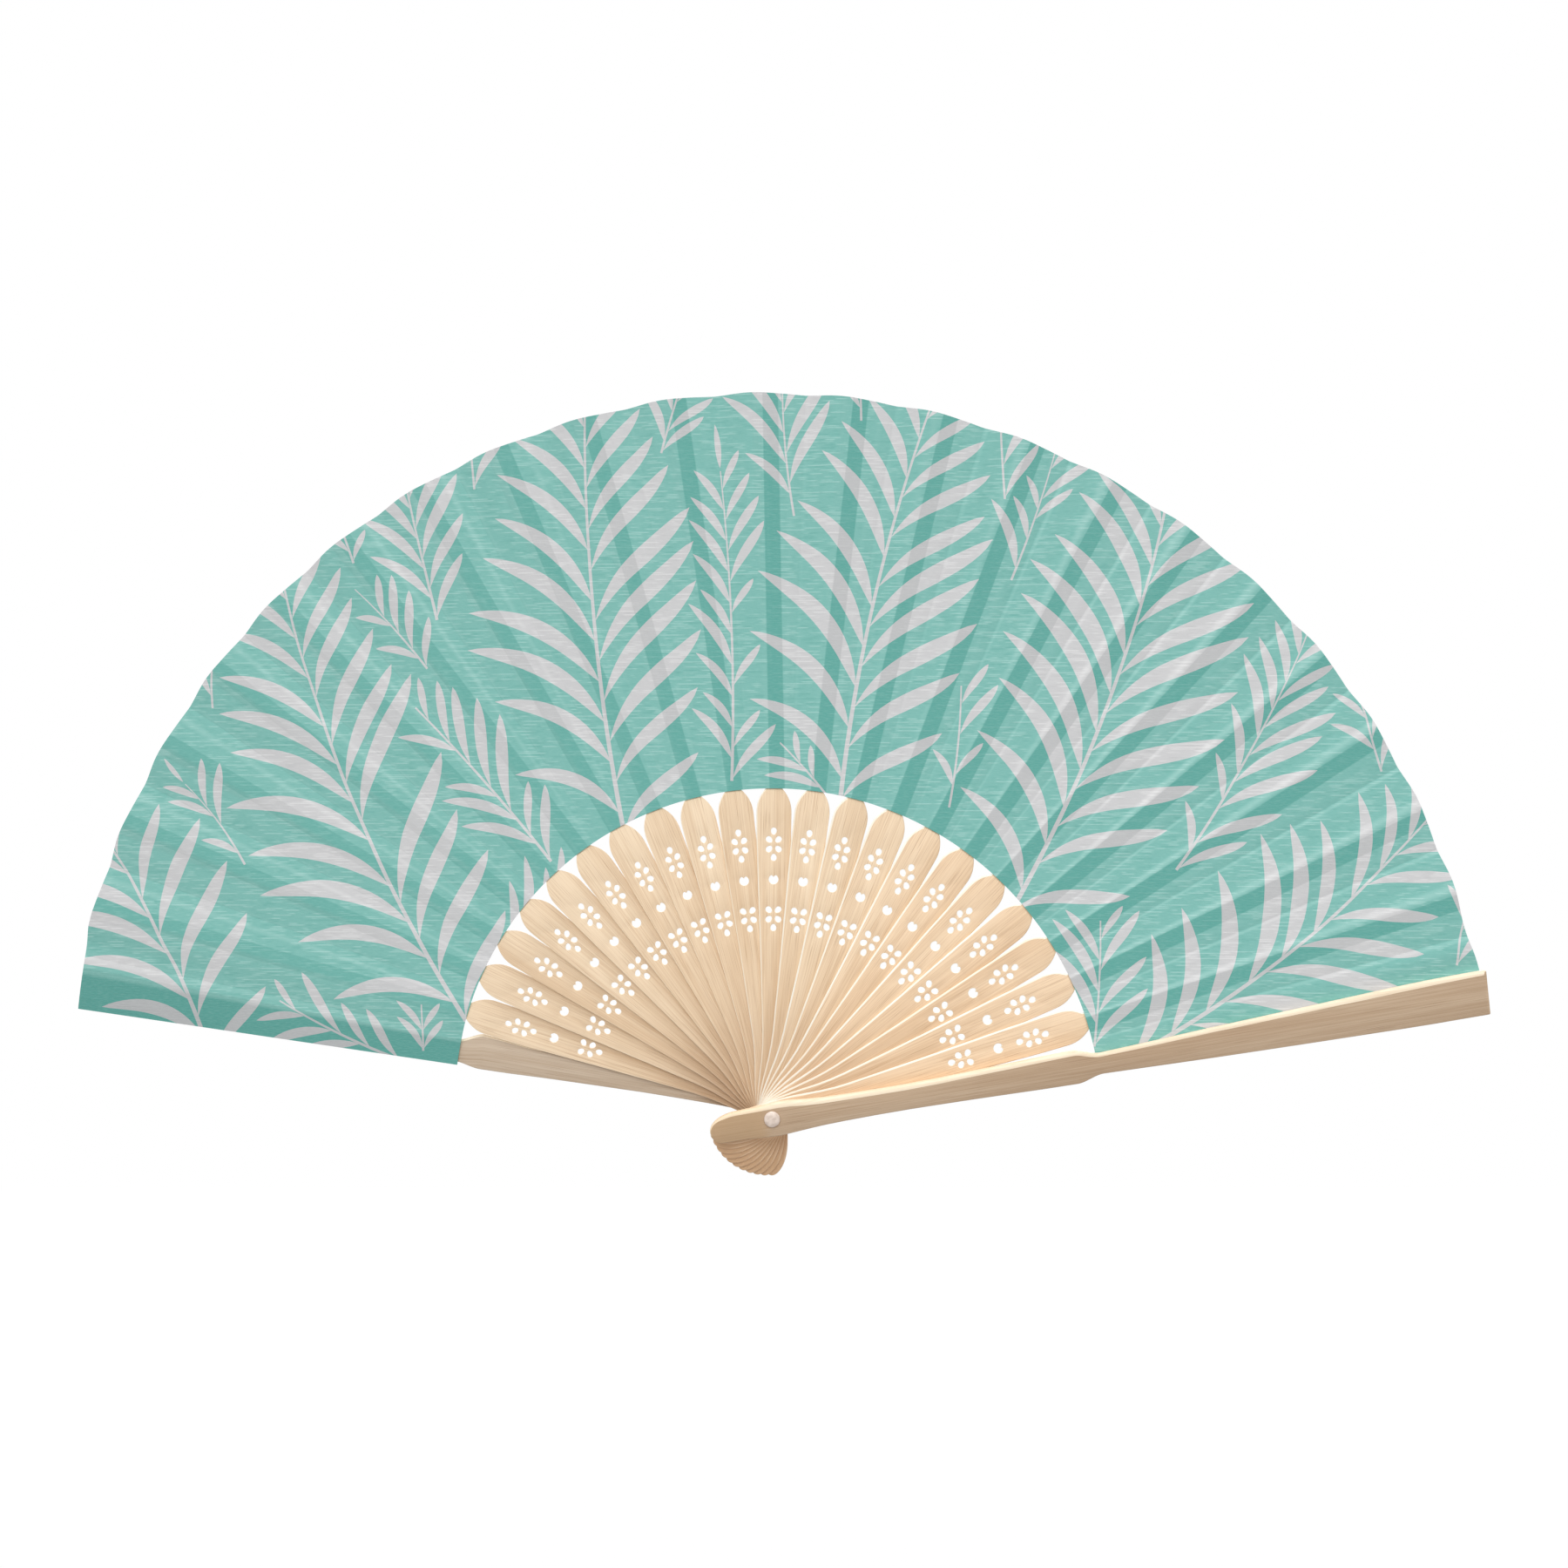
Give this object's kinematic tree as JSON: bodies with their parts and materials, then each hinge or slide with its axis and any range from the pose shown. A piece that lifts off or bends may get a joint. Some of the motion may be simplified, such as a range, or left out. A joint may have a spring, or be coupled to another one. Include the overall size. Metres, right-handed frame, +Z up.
{
  "type": "folding fan",
  "caption": "Folding hand fan, open to about 160 degrees: pierced bamboo sticks on a rivet, two guards and a pleated cloth leaf that folds shut.",
  "frame": {"origin": "middle of the rivet that joins the sticks, half way through the stack", "axes": "+X to the right across the open fan, +Z up, and +Y along the rivet from the front guard to the back guard; the leaf is seen from -Y"},
  "size_m": [0.4186, 0.0274, 0.2299],
  "materials": {
    "stick_bamboo": "satin",
    "guard_bamboo": "satin",
    "leaf_fabric": "woven satin, printed",
    "rivet_plastic": "gloss"
  },
  "bodies": {
    "front_guard": {"front_guard": "guard_bamboo", "rivet_pin": "rivet_plastic", "rivet_head_front": "rivet_plastic", "rivet_head_back": "rivet_plastic", "leaf_01": "leaf_fabric"},
    "stick_01": {"stick_01": "stick_bamboo", "leaf_02": "leaf_fabric"},
    "stick_02": {"stick_02": "stick_bamboo", "leaf_03": "leaf_fabric"},
    "stick_03": {"stick_03": "stick_bamboo", "leaf_04": "leaf_fabric"},
    "stick_04": {"stick_04": "stick_bamboo", "leaf_05": "leaf_fabric"},
    "stick_05": {"stick_05": "stick_bamboo", "leaf_06": "leaf_fabric"},
    "stick_06": {"stick_06": "stick_bamboo", "leaf_07": "leaf_fabric"},
    "stick_07": {"stick_07": "stick_bamboo", "leaf_08": "leaf_fabric"},
    "stick_08": {"stick_08": "stick_bamboo", "leaf_09": "leaf_fabric"},
    "stick_09": {"stick_09": "stick_bamboo", "leaf_10": "leaf_fabric"},
    "stick_10": {"stick_10": "stick_bamboo", "leaf_11": "leaf_fabric"},
    "stick_11": {"stick_11": "stick_bamboo", "leaf_12": "leaf_fabric"},
    "stick_12": {"stick_12": "stick_bamboo", "leaf_13": "leaf_fabric"},
    "stick_13": {"stick_13": "stick_bamboo", "leaf_14": "leaf_fabric"},
    "stick_14": {"stick_14": "stick_bamboo", "leaf_15": "leaf_fabric"},
    "stick_15": {"stick_15": "stick_bamboo", "leaf_16": "leaf_fabric"},
    "stick_16": {"stick_16": "stick_bamboo", "leaf_17": "leaf_fabric"},
    "stick_17": {"stick_17": "stick_bamboo", "leaf_18": "leaf_fabric"},
    "stick_18": {"stick_18": "stick_bamboo", "leaf_19": "leaf_fabric"},
    "stick_19": {"stick_19": "stick_bamboo", "leaf_20": "leaf_fabric"},
    "stick_20": {"stick_20": "stick_bamboo", "leaf_21": "leaf_fabric"},
    "stick_21": {"stick_21": "stick_bamboo", "leaf_22": "leaf_fabric"},
    "back_guard": {"back_guard": "guard_bamboo"}
  },
  "joints": [
    {"name": "stick_01_turn", "type": "hinge", "parent": "front_guard", "child": "stick_01", "pos_m": [0, 0, 0], "axis": [0, 1, 0], "range_deg": [0, 7.27], "deforming": ["leaf_01"]},
    {"name": "stick_02_turn", "type": "hinge", "parent": "stick_01", "child": "stick_02", "pos_m": [0, 0, 0], "axis": [0, 1, 0], "range_deg": [0, 7.27], "deforming": ["leaf_02"]},
    {"name": "stick_03_turn", "type": "hinge", "parent": "stick_02", "child": "stick_03", "pos_m": [0, 0, 0], "axis": [0, 1, 0], "range_deg": [0, 7.27], "deforming": ["leaf_03"]},
    {"name": "stick_04_turn", "type": "hinge", "parent": "stick_03", "child": "stick_04", "pos_m": [0, 0, 0], "axis": [0, 1, 0], "range_deg": [0, 7.27], "deforming": ["leaf_04"]},
    {"name": "stick_05_turn", "type": "hinge", "parent": "stick_04", "child": "stick_05", "pos_m": [0, 0, 0], "axis": [0, 1, 0], "range_deg": [0, 7.27], "deforming": ["leaf_05"]},
    {"name": "stick_06_turn", "type": "hinge", "parent": "stick_05", "child": "stick_06", "pos_m": [0, 0, 0], "axis": [0, 1, 0], "range_deg": [0, 7.27], "deforming": ["leaf_06"]},
    {"name": "stick_07_turn", "type": "hinge", "parent": "stick_06", "child": "stick_07", "pos_m": [0, 0, 0], "axis": [0, 1, 0], "range_deg": [0, 7.27], "deforming": ["leaf_07"]},
    {"name": "stick_08_turn", "type": "hinge", "parent": "stick_07", "child": "stick_08", "pos_m": [0, 0, 0], "axis": [0, 1, 0], "range_deg": [0, 7.27], "deforming": ["leaf_08"]},
    {"name": "stick_09_turn", "type": "hinge", "parent": "stick_08", "child": "stick_09", "pos_m": [0, 0, 0], "axis": [0, 1, 0], "range_deg": [0, 7.27], "deforming": ["leaf_09"]},
    {"name": "stick_10_turn", "type": "hinge", "parent": "stick_09", "child": "stick_10", "pos_m": [0, 0, 0], "axis": [0, 1, 0], "range_deg": [0, 7.27], "deforming": ["leaf_10"]},
    {"name": "stick_11_turn", "type": "hinge", "parent": "stick_10", "child": "stick_11", "pos_m": [0, 0, 0], "axis": [0, 1, 0], "range_deg": [0, 7.27], "deforming": ["leaf_11"]},
    {"name": "stick_12_turn", "type": "hinge", "parent": "stick_11", "child": "stick_12", "pos_m": [0, 0, 0], "axis": [0, 1, 0], "range_deg": [0, 7.27], "deforming": ["leaf_12"]},
    {"name": "stick_13_turn", "type": "hinge", "parent": "stick_12", "child": "stick_13", "pos_m": [0, 0, 0], "axis": [0, 1, 0], "range_deg": [0, 7.27], "deforming": ["leaf_13"]},
    {"name": "stick_14_turn", "type": "hinge", "parent": "stick_13", "child": "stick_14", "pos_m": [0, 0, 0], "axis": [0, 1, 0], "range_deg": [0, 7.27], "deforming": ["leaf_14"]},
    {"name": "stick_15_turn", "type": "hinge", "parent": "stick_14", "child": "stick_15", "pos_m": [0, 0, 0], "axis": [0, 1, 0], "range_deg": [0, 7.27], "deforming": ["leaf_15"]},
    {"name": "stick_16_turn", "type": "hinge", "parent": "stick_15", "child": "stick_16", "pos_m": [0, 0, 0], "axis": [0, 1, 0], "range_deg": [0, 7.27], "deforming": ["leaf_16"]},
    {"name": "stick_17_turn", "type": "hinge", "parent": "stick_16", "child": "stick_17", "pos_m": [0, 0, 0], "axis": [0, 1, 0], "range_deg": [0, 7.27], "deforming": ["leaf_17"]},
    {"name": "stick_18_turn", "type": "hinge", "parent": "stick_17", "child": "stick_18", "pos_m": [0, 0, 0], "axis": [0, 1, 0], "range_deg": [0, 7.27], "deforming": ["leaf_18"]},
    {"name": "stick_19_turn", "type": "hinge", "parent": "stick_18", "child": "stick_19", "pos_m": [0, 0, 0], "axis": [0, 1, 0], "range_deg": [0, 7.27], "deforming": ["leaf_19"]},
    {"name": "stick_20_turn", "type": "hinge", "parent": "stick_19", "child": "stick_20", "pos_m": [0, 0, 0], "axis": [0, 1, 0], "range_deg": [0, 7.27], "deforming": ["leaf_20"]},
    {"name": "stick_21_turn", "type": "hinge", "parent": "stick_20", "child": "stick_21", "pos_m": [0, 0, 0], "axis": [0, 1, 0], "range_deg": [0, 7.27], "deforming": ["leaf_21"]},
    {"name": "back_guard_turn", "type": "hinge", "parent": "stick_21", "child": "back_guard", "pos_m": [0, 0, 0], "axis": [0, 1, 0], "range_deg": [0, 7.9], "deforming": ["leaf_22"]}
  ],
  "couplings": [
    {"joint": "stick_02_turn", "follows": "stick_01_turn", "ratio": 1},
    {"joint": "stick_03_turn", "follows": "stick_01_turn", "ratio": 1},
    {"joint": "stick_04_turn", "follows": "stick_01_turn", "ratio": 1},
    {"joint": "stick_05_turn", "follows": "stick_01_turn", "ratio": 1},
    {"joint": "stick_06_turn", "follows": "stick_01_turn", "ratio": 1},
    {"joint": "stick_07_turn", "follows": "stick_01_turn", "ratio": 1},
    {"joint": "stick_08_turn", "follows": "stick_01_turn", "ratio": 1},
    {"joint": "stick_09_turn", "follows": "stick_01_turn", "ratio": 1},
    {"joint": "stick_10_turn", "follows": "stick_01_turn", "ratio": 1},
    {"joint": "stick_11_turn", "follows": "stick_01_turn", "ratio": 1},
    {"joint": "stick_12_turn", "follows": "stick_01_turn", "ratio": 1},
    {"joint": "stick_13_turn", "follows": "stick_01_turn", "ratio": 1},
    {"joint": "stick_14_turn", "follows": "stick_01_turn", "ratio": 1},
    {"joint": "stick_15_turn", "follows": "stick_01_turn", "ratio": 1},
    {"joint": "stick_16_turn", "follows": "stick_01_turn", "ratio": 1},
    {"joint": "stick_17_turn", "follows": "stick_01_turn", "ratio": 1},
    {"joint": "stick_18_turn", "follows": "stick_01_turn", "ratio": 1},
    {"joint": "stick_19_turn", "follows": "stick_01_turn", "ratio": 1},
    {"joint": "stick_20_turn", "follows": "stick_01_turn", "ratio": 1},
    {"joint": "stick_21_turn", "follows": "stick_01_turn", "ratio": 1},
    {"joint": "back_guard_turn", "follows": "stick_01_turn", "ratio": 1.0866}
  ]
}
